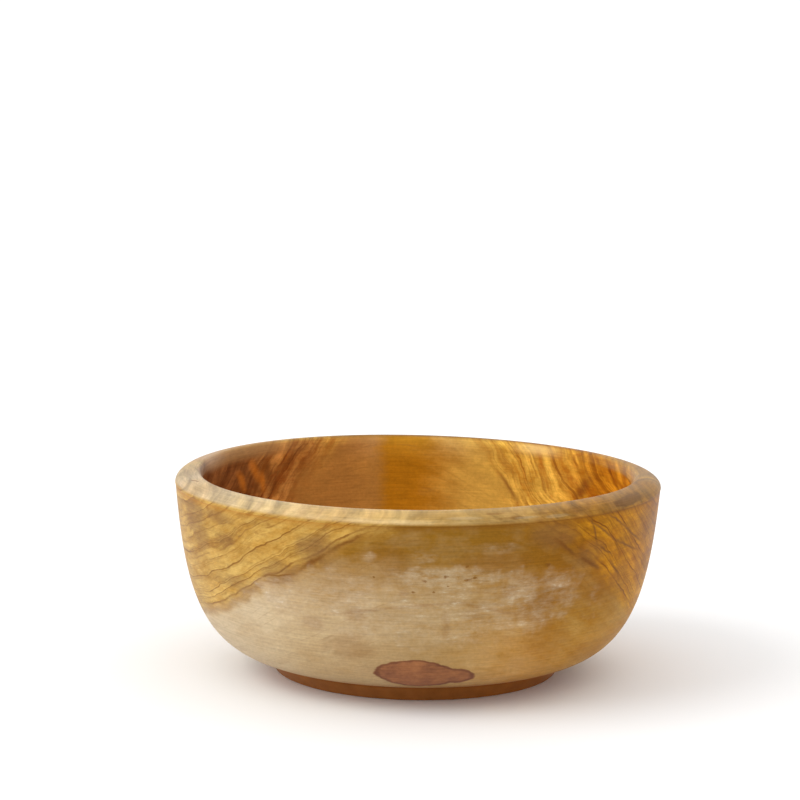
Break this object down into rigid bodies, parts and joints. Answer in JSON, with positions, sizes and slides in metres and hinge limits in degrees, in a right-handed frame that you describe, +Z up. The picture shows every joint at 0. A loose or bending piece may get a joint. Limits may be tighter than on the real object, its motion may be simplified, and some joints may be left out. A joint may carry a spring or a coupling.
{
  "type": "turned wooden bowl",
  "caption": "Round bowl turned from one block of olive wood, with a thick rolled rim, full curved wall and low foot; it holds a ball of yarn or small things.",
  "frame": {"origin": "centre of the ring that the foot stands on, at the bottom of the bowl", "axes": "+Z up along the turning axis, -Y towards the front, where the heartwood patch is, and +X to the right as seen from the front"},
  "size_m": [0.15, 0.15, 0.062],
  "materials": {
    "olive_wood": "lathe-sanded olive wood with a thin satin oil finish, golden with dark brown figure and one dark heartwood patch"
  },
  "bodies": {
    "root": {"bowl_body": "olive_wood"}
  },
  "joints": []
}
